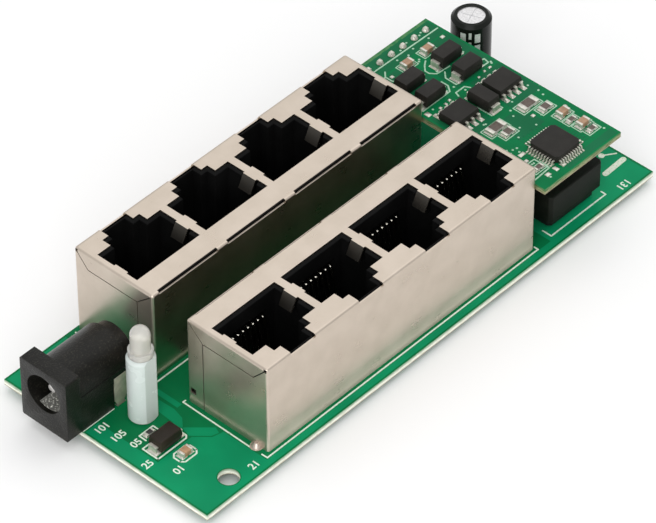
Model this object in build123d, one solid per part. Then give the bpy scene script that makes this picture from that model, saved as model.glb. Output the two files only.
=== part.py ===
# Power over ethernet panel: a narrow circuit board with two rows of four upright shielded
# network ports, a barrel power socket, an indicator light on a spacer, and a small converter
# board that stands over the far end on a row of header pins.
#
# Millimetres. The origin is on the axis of the mounting hole, at the underside of the main
# board. +X runs along the board, from the power socket to the converter board, +Y runs from
# the edge beside the mounting hole to the opposite long edge, and +Z points up.
import os
from math import sqrt

from build123d import *

os.makedirs("parts", exist_ok=True)

# Sheet, wires and clearances
sheet = 0.25
seam = 0.16
housing_clearance = 0.06
lead_trim = 1.0
ground_pin_trim = 1.2
hole_clearance = 0.18

# Port rows: each row is one part with four ports, and the rear row is turned half a turn
ports_per_row = 4
port_pitch = 13.97
row_end_wall = 0.36
row_width = 15.4
row_height = 15.85
bend_radius = 0.45

# Openings in the top of the shield, from the latch side of the row
latch_neck_width = 5.0
latch_neck_depth = 2.05
latch_step_width = 7.45
latch_step_depth = 1.6
plug_window_width = 12.7
plug_window_depth = 7.8

# Other cuts and folds of the shield
relief_slot_length = 11.9
relief_slot_height = 0.42
relief_slot_inset = 0.5
end_flap_drop = 2.95
end_flap_latch_inset = 2.65
end_strip_width = 3.1
catch_window = 1.05
catch_window_height = 2.45
catch_window_inset = 1.05
spring_tab_width = 2.4
spring_tab_reach = 1.3
spring_tab_drop = 2.2
spring_tab_place = 0.58
ground_pin_width = 1.2
ground_pin_inset = 1.5

# Plastic port housing
cavity_lip = 0.4
cavity_floor = 2.8
cavity_chamfer = 0.3
foot_recess = 1.2

# Port contacts
contact_pitch = 1.016
contact_count = 8
contact_wire = 0.3
contact_row_spacing = 2.54
contact_top = 11.6
contact_tip_height = 5.2
contact_tip_reach = 3.4
contact_bay_depth = 1.6

# Main board
board_thickness = 1.0
front_margin = 2.1
row_gap = 6.45
rear_margin = 0.3
far_margin = 7.1
mount_hole_diameter = 3.2
mount_hole_from_end = 7.4
mount_hole_from_front = 2.9

# Power socket
socket_length = 14.2
socket_width = 9.0
socket_height = 11.0
socket_overhang = 2.9
socket_to_ports = 3.25
socket_from_rear = 11.2
socket_flange = 2.8
socket_axis_height = 6.5
socket_barrel_radius = 4.3
socket_end_step = 1.8
socket_end_inset = 0.7
socket_base_length = 9.3
socket_shelf = 4.6
socket_bore_radius = 3.2
socket_bore_depth = 10.2
socket_pin_radius = 1.0
socket_pin_setback = 1.6
terminal_thickness = 0.3
rear_terminal_width = 3.4
side_terminal_width = 2.4
terminal_tail_width = 1.4
sleeve_spring_crest = 3.0
sleeve_spring_half_length = 1.7

# Indicator light on its spacer
spacer_diameter = 4.3
spacer_height = 12.0
spacer_chamfer = 0.35
spacer_flat_depth = 0.33
lens_diameter = 3.0
lens_flange_diameter = 3.7
lens_flange_height = 1.0
lens_height = 5.1
light_lead = 0.45
light_lead_spacing = 2.54
light_from_end = 8.1
light_to_socket = 1.7

# Small parts beside the mounting hole: distance from the light towards the end of the
# board, and towards the hole's edge
surge_diode_place = (1.8, 6.1)
input_capacitor_place = (1.5, 9.6)
light_resistor_place = (2.0, 3.15)

# Converter board
converter_gap = 0.55
converter_width = 17.0
converter_from_front = 0.9
converter_from_rear = 0.65
converter_thickness = 1.0
converter_clear_height = 10.9

# Header that carries the converter board
header_pin_count = 6
header_pitch = 2.54
header_pin = 0.64
header_strip_height = 2.5
header_strip_width = 2.5
header_from_rear = 1.9
header_pin_above = 0.7

# Filter choke under the converter board
choke_side = 11.7
choke_top = 6.8
choke_case_bottom = 2.0
choke_corner = 0.5
choke_base_inset = 0.8
choke_terminal_width = 3.0
choke_terminal_thickness = 0.3
choke_terminal_foot = 2.2
choke_from_front = 8.2
choke_off_centre = 0.7

# Smoothing capacitor beyond the converter board
can_diameter = 5.8
can_length = 12.5
can_stand_off = 0.6
can_shoulder = 0.5
sleeve_thickness = 0.2
bung_depth = 1.6
can_lead = 0.6
can_lead_spacing = 2.5
can_from_converter = 4.05
can_from_rear = 6.2

# Diodes in small flat cases
diode_length = 4.3
diode_width = 2.6
diode_height = 2.2
diode_lead_width = 1.5
diode_lead_thickness = 0.2
diode_lead_reach = 0.5
diode_foot = 1.1

# Switch transistors in eight-lead cases
switch_length = 4.8
switch_width = 3.8
switch_height = 1.5
switch_lead_count = 4
switch_lead_pitch = 1.27
switch_lead_width = 0.42
switch_lead_reach = 1.05

# Controller in a square case
controller_side = 5.6
controller_height = 1.3
controller_lead_count = 10
controller_lead_pitch = 0.5
controller_lead_width = 0.22
controller_lead_reach = 0.9

# Case shapes shared by the small parts
case_taper = 8
case_gap = 0.1
parting_share = 0.45

# Places on the converter board, as parts of its width and of its length
rectifier_columns = (0.218, 0.7)
rectifier_rows = (0.667, 0.774)
switch_columns = (0.2, 0.759)
switch_row = 0.512
catch_diode_place = (0.479, 0.496)
controller_place = (0.465, 0.129)
sense_resistor_places = ((0.306, 0.365), (0.729, 0.365))
medium_resistor_places = ((0.335, 0.315), (0.8, 0.304))
small_resistor_places = ((0.829, 0.184), (0.859, 0.092), (0.171, 0.097))
converter_capacitor_places = (
    (0.412, 0.863),
    (0.676, 0.863),
    (0.841, 0.232),
    (0.853, 0.136),
)

# Sizes of the chip parts: length, width, height
chip_large = (3.2, 1.6, 0.55)
chip_medium = (2.0, 1.25, 0.5)
chip_small = (1.6, 0.8, 0.4)
chip_capacitor = (2.0, 1.25, 0.9)

# Sizes that follow from the ones above
row_length = ports_per_row * port_pitch + 2 * row_end_wall
row_start = socket_length - socket_overhang + socket_to_ports
converter_start = row_start + row_length + converter_gap
board_length = converter_start + converter_width + far_margin
board_width = front_margin + 2 * row_width + row_gap + rear_margin
converter_length = board_width - converter_from_front - converter_from_rear
rear_row_front = board_width - rear_margin - row_width
plug_window_front = latch_neck_depth + latch_step_depth
cavity_back = plug_window_front + plug_window_depth - cavity_lip
contact_wall = cavity_back + contact_bay_depth
contact_span = (contact_count - 1) * contact_pitch
converter_bottom = converter_clear_height
converter_top = converter_bottom + converter_thickness
header_middle = converter_start + converter_width / 2
header_row = converter_from_front + converter_length - header_from_rear
choke_middle = header_middle + choke_off_centre
can_middle = converter_start + converter_width + can_from_converter
can_row = board_width - can_from_rear
socket_middle = board_width - socket_from_rear
light_row = socket_middle - socket_width / 2 - light_to_socket - spacer_diameter / 2
lead_end = -board_thickness - lead_trim


def on_board(x, y, z=0):
    """Place measured from the near corner of the main board, at its upper face."""
    return Pos(x - mount_hole_from_end, y - mount_hole_from_front, z + board_thickness)


def on_converter(share_x, share_y):
    """Place on the converter board's upper face, as parts of its width and its length."""
    x = converter_start + share_x * converter_width
    y = converter_from_front + share_y * converter_length
    return on_board(x, y, converter_top)


def beside_light(back, forward):
    """Place on the main board, measured back to its end and forward to its hole."""
    return on_board(light_from_end - back, light_row - forward)


def block(x, y, z):
    """Box between the low and high values of each axis."""
    middle = Pos((x[0] + x[1]) / 2, (y[0] + y[1]) / 2, (z[0] + z[1]) / 2)
    return middle * Box(x[1] - x[0], y[1] - y[0], z[1] - z[0])


def corner_radius(side):
    """Distance from the middle of a square wire to its corners."""
    return side * sqrt(2) / 2


def side_sheet(points, thickness, width):
    """Bent strip: a line of (y, z) points with a thickness, as wide along X as given."""
    line = Polyline(*[(y, z) for y, z in points])
    profile = Plane.YZ * trace(line, thickness)
    return extrude(profile, width / 2, both=True)


def port_middles():
    return [row_end_wall + port_pitch * (index + 0.5) for index in range(ports_per_row)]


def rounded_block(length, width, height, radius):
    """Box on the board with its top and upright edges rounded."""
    body = block((0, length), (0, width), (0, height))
    return fillet(upper_edges(body, height), radius)


def upper_edges(body, height):
    """Every edge of a box but the four at its foot."""
    return body.edges().filter_by(lambda edge: edge.center().Z > height / 4)


def latch_outline(lip):
    """Plug window with the stepped notch for the plug's latch, smaller by lip all round."""
    window_y = (plug_window_front + lip, plug_window_front + plug_window_depth - lip)
    step_y = (latch_neck_depth + lip, window_y[0] + 0.1)
    neck_y = (2 * lip - 0.1 if lip else -1, step_y[0] + 0.1)
    parts = []
    for width, span in (
        (plug_window_width, window_y),
        (latch_step_width, step_y),
        (latch_neck_width, neck_y),
    ):
        shape = Rectangle(width - 2 * lip, span[1] - span[0])
        parts.append(Pos(0, sum(span) / 2) * shape)
    return parts[0] + parts[1] + parts[2]


def end_seams():
    """Gaps between the folded end flap and the two walls that wrap round the end."""
    flap_z = row_height - end_flap_drop
    strip_y = row_width - end_strip_width
    mitre = Polyline(
        (bend_radius, row_height - bend_radius),
        (end_flap_latch_inset, flap_z),
        (strip_y, flap_z),
        (row_width - bend_radius, row_height - bend_radius),
    )
    upright = Line((strip_y, flap_z), (strip_y, -1))
    seams = Plane.YZ * (trace(mitre, seam) + trace(upright, seam))
    corner = Pos(-sheet, bend_radius, row_height - bend_radius)
    relief = corner * Box(6 * sheet, 2 * sheet, 2 * sheet)
    window_y = row_width - catch_window_inset
    window = Pos(0, window_y, catch_window_height) * Box(4 * sheet, catch_window, catch_window)
    return extrude(seams, 2 * sheet, both=True) + relief + window


def port_shield():
    """Shield of one row, folded from sheet: roof, walls, end flaps, tabs and ground pins."""
    outside = rounded_block(row_length, row_width, row_height, bend_radius)
    inside_x = (0, row_length - 2 * sheet)
    inside_y = (0, row_width - 2 * sheet)
    inside = block(inside_x, inside_y, (0, row_height - sheet))
    inside = chamfer(upper_edges(inside, row_height), bend_radius - sheet)
    inside += block(inside_x, inside_y, (-1, 1))
    shell = outside - Pos(sheet, sheet, 0) * inside

    window = extrude(latch_outline(0), 3 * sheet)
    slot_y = (row_width - relief_slot_inset, row_width + sheet)
    slot_z = (row_height - relief_slot_height, row_height + sheet)
    half_slot = relief_slot_length / 2
    slot = block((-half_slot, half_slot), slot_y, slot_z)
    for middle in port_middles():
        shell -= Pos(middle, 0, row_height - 2 * sheet) * window
        shell -= Pos(middle, 0, 0) * slot

    seams = end_seams()
    shell -= seams
    shell -= Pos(row_length, 0, 0) * mirror(seams, Plane.YZ)

    tab = spring_tab()
    for middle in port_middles():
        shell += Pos(middle, 0, 0) * tab
        shell += Pos(middle, 0, 0) * mirror(tab, Plane.YZ)

    pin_x = (0, sheet)
    pin_y = (ground_pin_inset, ground_pin_inset + ground_pin_width)
    pin = block(pin_x, pin_y, (-board_thickness - ground_pin_trim, sheet))
    shell += pin
    shell += Pos(row_length - sheet, 0, 0) * pin
    return shell


def spring_tab():
    """Side spring of one port, folded down from the edge of its window."""
    edge = plug_window_width / 2
    middle_z = row_height - sheet / 2
    line = Polyline(
        (edge + sheet, middle_z),
        (edge - sheet, middle_z),
        (edge - spring_tab_reach, row_height - spring_tab_drop),
    )
    profile = Plane.XZ * trace(line, sheet)
    middle_y = plug_window_front + plug_window_depth * spring_tab_place
    return Pos(0, middle_y, 0) * extrude(profile, spring_tab_width / 2, both=True)


def port_housing():
    """Plastic housing of one row, with its four plug cavities and contact bays."""
    inset = sheet + housing_clearance
    top = row_height - inset
    body = block((inset, row_length - inset), (inset, row_width - inset), (0, top))
    body = chamfer(upper_edges(body, top), bend_radius)

    opening = latch_outline(cavity_lip)
    cavity = extrude(opening, top - cavity_floor + 1)
    mouth = extrude(offset(opening, cavity_chamfer, kind=Kind.INTERSECTION), 1)
    slope = extrude(opening, cavity_chamfer, taper=-45)
    half_bay = contact_span / 2 + contact_wire + 0.5
    bay = block(
        (-half_bay, half_bay), (cavity_back - 0.4, contact_wall), (-1, contact_top + 0.8)
    )
    recess_y = (tail_y(1) - 0.5, contact_wall)
    recess = block((-half_bay, half_bay), recess_y, (-1, foot_recess))
    tab_y = plug_window_front + plug_window_depth * spring_tab_place
    half_tab = spring_tab_width / 2 + 0.3
    half_window = plug_window_width / 2 + sheet
    tab_pocket = block(
        (-half_window, half_window),
        (tab_y - half_tab, tab_y + half_tab),
        (row_height - spring_tab_drop - 2 * sheet, row_height),
    )
    for middle in port_middles():
        body -= Pos(middle, 0, cavity_floor) * cavity
        body -= Pos(middle, 0, top - cavity_chamfer) * slope
        body -= Pos(middle, 0, top) * mouth
        body -= Pos(middle, 0, 0) * (bay + recess + tab_pocket)
    return body


def contact_places():
    """Offset across one port and tail row of every contact."""
    for index in range(contact_count):
        yield index * contact_pitch - contact_span / 2, index % 2


def tail_y(row):
    return contact_wall - contact_wire / 2 - row * contact_row_spacing


def port_contacts():
    """Spring wires of one row: up the bay, over the top and down into the cavity."""
    shapes = []
    upright = tail_y(0)
    spring = [
        (upright, contact_top - 0.4),
        (upright - 0.45, contact_top),
        (cavity_back, contact_top - 0.3),
        (contact_wall - contact_tip_reach, contact_tip_height),
    ]
    for row in (0, 1):
        foot = [(tail_y(row), lead_end)]
        if row:
            foot += [(tail_y(1), foot_recess / 2), (upright, foot_recess / 2)]
        shapes.append(side_sheet(foot + spring, contact_wire, contact_wire))
    wires = []
    for middle in port_middles():
        for offset_x, row in contact_places():
            wires.append(Pos(middle + offset_x, 0, 0) * shapes[row])
    return wires


def row_places():
    """Place of the front row and of the rear row, which is turned half a turn."""
    front = on_board(row_start, front_margin)
    rear = on_board(row_start + row_length, rear_row_front + row_width) * Rot(0, 0, 180)
    return {"front": front, "rear": rear}


def drilled(radius):
    """Cutter for a small hole, eight-sided because the board has dozens of them."""
    return extrude(RegularPolygon(radius, 8), 2 * board_thickness, both=True)


def row_holes():
    """Holes of one row in the board: one for each contact tail and each ground pin."""
    tail = drilled(corner_radius(contact_wire) + hole_clearance)
    ground = drilled(ground_pin_width / 2 + hole_clearance)
    holes = []
    for middle in port_middles():
        for offset_x, row in contact_places():
            holes.append(Pos(middle + offset_x, tail_y(row), 0) * tail)
    pin_y = ground_pin_inset + ground_pin_width / 2
    for x in (sheet / 2, row_length - sheet / 2):
        holes.append(Pos(x, pin_y, 0) * ground)
    return holes


def main_board():
    """Board with its mounting hole and a hole for every lead that passes through it."""
    plate = on_board(0, 0) * block((0, board_length), (0, board_width), (-board_thickness, 0))
    holes = [Cylinder(mount_hole_diameter / 2, 4 * board_thickness)]
    for place in row_places().values():
        holes += [place * hole for hole in row_holes()]
    for x, y, radius in round_leads():
        holes.append(on_board(x, y) * drilled(radius + hole_clearance))
    for x, y, length_x, length_y in terminal_slots():
        size_x = length_x + 2 * hole_clearance
        size_y = length_y + 2 * hole_clearance
        holes.append(on_board(x, y) * Box(size_x, size_y, 4 * board_thickness))
    return plate - holes


def round_leads():
    """Centre and radius of every lead of the light, the capacitor and the header."""
    leads = []
    for side in (-0.5, 0.5):
        x = light_from_end + side * light_lead_spacing
        leads.append((x, light_row, corner_radius(light_lead)))
        leads.append((can_middle, can_row + side * can_lead_spacing, can_lead / 2))
    for x in header_xs():
        leads.append((x, header_row, corner_radius(header_pin)))
    return leads


def header_xs():
    first = header_middle - (header_pin_count - 1) * header_pitch / 2
    return [first + index * header_pitch for index in range(header_pin_count)]


def terminal_slots():
    """Centre and size of the board slots under the three terminals of the power socket."""
    front = -socket_overhang
    thick = terminal_thickness
    return [
        (front + rear_terminal_x(), socket_middle, thick, terminal_tail_width),
        (front + sleeve_terminal_x(), socket_middle, thick, terminal_tail_width),
        (front + side_terminal_x(), side_terminal_y(), terminal_tail_width, thick),
    ]


def rear_terminal_x():
    return socket_length - socket_end_step


def sleeve_terminal_x():
    return socket_base_length + 2 * terminal_thickness


def side_terminal_x():
    return socket_base_length + side_terminal_width / 2 + 2 * case_gap


def side_terminal_y():
    return socket_middle - socket_width / 2 + terminal_thickness


def socket_place():
    return on_board(-socket_overhang, socket_middle)


def socket_body():
    """Moulded socket: square front flange, base block, half-round barrel and its bore."""
    half = socket_width / 2
    flange = block((0, socket_flange), (-half, half), (0, socket_height))
    flange = fillet(flange.edges().filter_by(Axis.X), 0.3)
    side = socket_barrel_radius + case_gap
    base = block((socket_flange, socket_base_length), (-side, side), (0, socket_axis_height))
    shelf_x = (socket_base_length - 0.1, socket_length)
    shelf = block(shelf_x, (-side, side), (socket_shelf, socket_axis_height))
    barrel = barrel_half(socket_flange, socket_length - socket_end_step, socket_barrel_radius)
    end = barrel_half(
        socket_length - socket_end_step - 0.1, socket_length, socket_barrel_radius - socket_end_inset
    )
    body = flange + base + shelf + barrel + end
    axis = Pos(0, 0, socket_axis_height) * Rot(0, 90, 0)
    bore = axis * Cylinder(
        socket_bore_radius, socket_bore_depth, align=(Align.CENTER, Align.CENTER, Align.MIN)
    )
    pin_hole = axis * Cylinder(
        socket_pin_radius, rear_terminal_x(), align=(Align.CENTER, Align.CENTER, Align.MIN)
    )
    body = body - bore - pin_hole
    body -= rear_slot()
    body -= sleeve_channel()
    return body - side_slot()


def barrel_half(start, end, radius):
    """Upper half of a cylinder along X, on the axis of the socket."""
    outline = Plane.YZ * (Circle(radius) & Pos(0, radius) * Rectangle(4 * radius, 2 * radius))
    return Pos(start, 0, socket_axis_height) * extrude(outline, end - start)


def rear_slot():
    """Slot in the rear of the body for the terminal of the centre pin."""
    half = rear_terminal_width / 2 + case_gap
    x = rear_terminal_x()
    spare = terminal_thickness / 2 + case_gap
    top = socket_axis_height + 2 * socket_pin_radius + case_gap
    return block((x - terminal_thickness / 2, x + spare), (-half, half), (0, top))


def sleeve_channel():
    """Groove in the floor of the bore for the sleeve spring, down to its terminal."""
    half = terminal_tail_width / 2 + case_gap
    floor = socket_axis_height - socket_bore_radius
    x = sleeve_terminal_x()
    groove_z = (floor - 3 * terminal_thickness, floor + 0.6)
    groove = block((socket_flange, x + 0.5), (-half, half), groove_z)
    thick = terminal_thickness / 2 + case_gap
    return groove + block((x - thick, x + thick), (-half, half), (-1, floor))


def side_slot():
    """Slot that holds the upper end of the side terminal."""
    half = side_terminal_width / 2 + case_gap
    x = side_terminal_x()
    y = side_terminal_y() - socket_middle
    thick = terminal_thickness / 2 + case_gap
    return block((x - half, x + half), (y - thick, y + thick), (0, socket_shelf + 1))


def flat_terminal(width, top):
    """Flat terminal across Y: a wide plate above the board and a narrow tail through it."""
    half_tail = terminal_tail_width / 2
    half = width / 2
    outline = Polyline(
        (-half_tail, lead_end),
        (half_tail, lead_end),
        (half_tail, 0.3),
        (half, 1.0),
        (half, top),
        (-half, top),
        (-half, 1.0),
        (-half_tail, 0.3),
        close=True,
    )
    return extrude(Plane.YZ * make_face(outline), terminal_thickness / 2, both=True)


def socket_pin():
    """Centre pin with a chamfered tip, up to the face of its terminal."""
    length = rear_terminal_x() - terminal_thickness / 2 - socket_pin_setback
    start = Pos(socket_pin_setback, 0, socket_axis_height) * Rot(0, 90, 0)
    pin = Cylinder(
        socket_pin_radius, length, align=(Align.CENTER, Align.CENTER, Align.MIN)
    )
    tip = pin.edges().sort_by(Axis.Z)[0]
    return start * chamfer(tip, socket_pin_radius * 0.35)


def sleeve_spring():
    """Spring that touches the sleeve of the plug, with its terminal."""
    floor = socket_axis_height - socket_bore_radius
    middle_z = floor - 1.5 * terminal_thickness
    crest = socket_flange + sleeve_spring_crest
    line = Polyline(
        (crest - sleeve_spring_half_length, middle_z),
        (crest, floor + terminal_thickness),
        (crest + sleeve_spring_half_length, middle_z),
        (sleeve_terminal_x(), middle_z),
        (sleeve_terminal_x(), lead_end),
    )
    profile = Plane.XZ * trace(line, terminal_thickness)
    return extrude(profile, terminal_tail_width / 2, both=True)


def turned(points):
    """Solid of revolution about Z from (radius, height) points."""
    outline = make_face(Polyline(*points, close=True))
    return revolve(Plane.XZ * outline, Axis.Z)


def light_spacer():
    """Tubular spacer with chamfered rims and one flat side, clear of both leads."""
    outer = spacer_diameter / 2
    inner = light_lead_spacing / 2 + corner_radius(light_lead)
    edge = min(spacer_chamfer, (outer - inner) / 2)
    flat = outer - min(spacer_flat_depth, 0.6 * (outer - inner))
    tube = turned(
        [
            (inner, 0),
            (outer - edge, 0),
            (outer, edge),
            (outer, spacer_height - 2 * edge),
            (outer - edge, spacer_height),
            (inner, spacer_height),
        ]
    )
    return tube - block((-outer, outer), (-outer - 1, -flat), (-1, spacer_height + 1))


def light_lens():
    """Lens with its flange, straight body and round dome."""
    radius = lens_diameter / 2
    shoulder = lens_height - radius
    flange = Cylinder(
        lens_flange_diameter / 2,
        lens_flange_height,
        align=(Align.CENTER, Align.CENTER, Align.MIN),
    )
    body = Cylinder(radius, shoulder, align=(Align.CENTER, Align.CENTER, Align.MIN))
    dome = Pos(0, 0, shoulder) * Sphere(radius)
    return Pos(0, 0, spacer_height) * (flange + body + dome)


def square_lead(side, low, high):
    return block((-side / 2, side / 2), (-side / 2, side / 2), (low, high))


def light_leads():
    lead = square_lead(light_lead, lead_end, spacer_height)
    return [Pos(side * light_lead_spacing, 0, 0) * lead for side in (-0.5, 0.5)]


def parting_line(height, lift):
    """Height at which a moulded case is widest and its leads come out."""
    return lift + (height - lift) * parting_share


def tapered_case(length, width, height, lift):
    """Moulded case that narrows above and below its parting line."""
    middle = parting_line(height, lift)
    outline = Rectangle(length, width)
    upper = Pos(0, 0, middle) * extrude(outline, height - middle, taper=case_taper)
    lower = Pos(0, 0, middle) * extrude(outline, lift - middle, taper=case_taper)
    return upper + lower


def diode_case():
    return tapered_case(diode_length, diode_width, diode_height, diode_lead_thickness)


def diode_leads():
    """Two flat leads, folded down the ends of the case and in under it."""
    end = diode_length / 2
    thick = diode_lead_thickness
    upright = end + diode_lead_reach - thick / 2
    middle = parting_line(diode_height, diode_lead_thickness)
    line = Polyline(
        (end, middle),
        (upright, middle),
        (upright, thick / 2),
        (upright - diode_foot, thick / 2),
    )
    lead = extrude(Plane.XZ * trace(line, thick), diode_lead_width / 2, both=True)
    return [lead, Rot(0, 0, 180) * lead]


def gull_lead(reach, width, height):
    """Lead that leaves a case along +X, drops to the board and turns out again."""
    thick = 0.15
    line = Polyline(
        (0, height),
        (reach * 0.35, height),
        (reach * 0.55, thick / 2),
        (reach, thick / 2),
    )
    return extrude(Plane.XZ * trace(line, thick), width / 2, both=True)


def lead_line(lead, count, pitch, half_case):
    """Row of leads along Y on the +X side of a case."""
    first = -(count - 1) * pitch / 2
    return [Pos(half_case, first + index * pitch, 0) * lead for index in range(count)]


def switch_case():
    return tapered_case(switch_length, switch_width, switch_height, case_gap)


def switch_lead_rows():
    """Leads on both long sides of a switch transistor."""
    height = parting_line(switch_height, case_gap)
    lead = gull_lead(switch_lead_reach, switch_lead_width, height)
    line = lead_line(lead, switch_lead_count, switch_lead_pitch, switch_width / 2)
    return [Rot(0, 0, angle) * one for angle in (90, 270) for one in line]


def controller_case():
    """Square case with its four corners cut."""
    case = tapered_case(controller_side, controller_side, controller_height, case_gap)
    corner = controller_side * 0.12
    outline = chamfer(Rectangle(controller_side, controller_side).vertices(), corner)
    return case & extrude(outline, 2 * controller_height)


def controller_lead_rows():
    """Leads on all four sides of the controller."""
    height = parting_line(controller_height, case_gap)
    lead = gull_lead(controller_lead_reach, controller_lead_width, height)
    line = lead_line(lead, controller_lead_count, controller_lead_pitch, controller_side / 2)
    return [Rot(0, 0, angle) * one for angle in (0, 90, 180, 270) for one in line]


def chip(size):
    """Chip part with slightly larger plated ends."""
    length, width, height = size
    end = length * 0.2
    skin = 0.03
    cap = block((length / 2 - end, length / 2), (-width / 2, width / 2), (0, height))
    core = block(
        (-length / 2 + end, length / 2 - end),
        (-width / 2 + skin, width / 2 - skin),
        (skin, height - skin),
    )
    return core + cap + Rot(0, 0, 180) * cap


def converter_board():
    """Converter board with the holes for its header pins."""
    plate = block((0, converter_width), (0, converter_length), (-converter_thickness, 0))
    plate = on_converter(0, 0) * plate
    hole = drilled(corner_radius(header_pin) + hole_clearance)
    holes = [on_board(x, header_row, converter_top) * hole for x in header_xs()]
    return plate - holes


def header_strip():
    """Insulating strip of the header, waisted between the pins."""
    length = header_pin_count * header_pitch
    half = header_strip_width / 2
    strip = block((-length / 2, length / 2), (-half, half), (0, header_strip_height))
    waist = Rot(0, 0, 45) * Box(0.7, 0.7, 4 * header_strip_height)
    for index in range(1, header_pin_count):
        x = -length / 2 + index * header_pitch
        strip -= [Pos(x, side * half, 0) * waist for side in (-1, 1)]
    strip = on_board(header_middle, header_row) * strip
    pin = square_lead(header_pin, -1, 2 * header_strip_height)
    return strip - [on_board(x, header_row) * pin for x in header_xs()]


def header_pins_set():
    pin = square_lead(header_pin, lead_end, converter_top + header_pin_above)
    pin = chamfer(pin.faces().sort_by(Axis.Z)[-1].edges(), 0.12)
    return at_each([on_board(x, header_row) for x in header_xs()], [pin])


def choke_place():
    return on_board(choke_middle, choke_from_front)


def choke_case():
    """Ferrite case with cut corners and a softened upper rim."""
    outline = chamfer(Rectangle(choke_side, choke_side).vertices(), choke_corner)
    case = Pos(0, 0, choke_case_bottom) * extrude(outline, choke_top - choke_case_bottom)
    return fillet(case.faces().sort_by(Axis.Z)[-1].edges(), 0.3)


def choke_base():
    """Base under the ferrite case, standing on the terminals."""
    side = choke_side - 2 * choke_base_inset
    outline = chamfer(Rectangle(side, side).vertices(), choke_corner)
    thick = choke_terminal_thickness
    return Pos(0, 0, thick) * extrude(outline, choke_case_bottom - thick)


def choke_terminals():
    """Flat terminals at both ends, from under the base up to the case."""
    thick = choke_terminal_thickness
    upright = choke_side / 2 - choke_base_inset + thick / 2
    line = Polyline(
        (upright - choke_terminal_foot, thick / 2),
        (upright, thick / 2),
        (upright, choke_case_bottom),
    )
    strip = extrude(Plane.XZ * trace(line, thick), choke_terminal_width / 2, both=True)
    return [strip, Rot(0, 0, 180) * strip]


def can_place():
    return on_board(can_middle, can_row, can_stand_off)


def capacitor_can():
    """Metal can: open below for the bung, with a chamfered shoulder."""
    radius = can_diameter / 2
    can = Cylinder(radius, can_length, align=(Align.CENTER, Align.CENTER, Align.MIN))
    can = chamfer(can.edges().sort_by(Axis.Z)[-1], can_shoulder)
    inner = radius - sleeve_thickness
    hollow = Cylinder(inner, bung_depth, align=(Align.CENTER, Align.CENTER, Align.MIN))
    return can - hollow


def capacitor_bung():
    bung = Cylinder(
        can_diameter / 2 - sleeve_thickness,
        bung_depth,
        align=(Align.CENTER, Align.CENTER, Align.MIN),
    )
    lead = Cylinder(can_lead / 2, 4 * bung_depth)
    return bung - [Pos(0, side * can_lead_spacing, 0) * lead for side in (-0.5, 0.5)]


def capacitor_sleeve():
    """Shrunk sleeve that turns in over the rim of the can."""
    inner = can_diameter / 2
    outer = inner + sleeve_thickness
    top = can_length + sleeve_thickness
    cup = Cylinder(outer, top, align=(Align.CENTER, Align.CENTER, Align.MIN))
    cup = chamfer(cup.edges().sort_by(Axis.Z)[-1], can_shoulder)
    window = Cylinder(inner * 0.73, 4 * can_length)
    hollow = Cylinder(inner, can_length, align=(Align.CENTER, Align.CENTER, Align.MIN))
    hollow = chamfer(hollow.edges().sort_by(Axis.Z)[-1], can_shoulder)
    return cup - hollow - window


def capacitor_leads():
    low = lead_end - can_stand_off
    lead = Cylinder(
        can_lead / 2, bung_depth - low, align=(Align.CENTER, Align.CENTER, Align.MIN)
    )
    return [Pos(0, side * can_lead_spacing, low) * lead for side in (-0.5, 0.5)]


def rectifier_places():
    return [on_converter(x, y) for y in rectifier_rows for x in rectifier_columns]


def at_each(places, solids):
    """One compound with a copy of the solids at every place."""
    return Compound(children=[place * solid for place in places for solid in solids])


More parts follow.
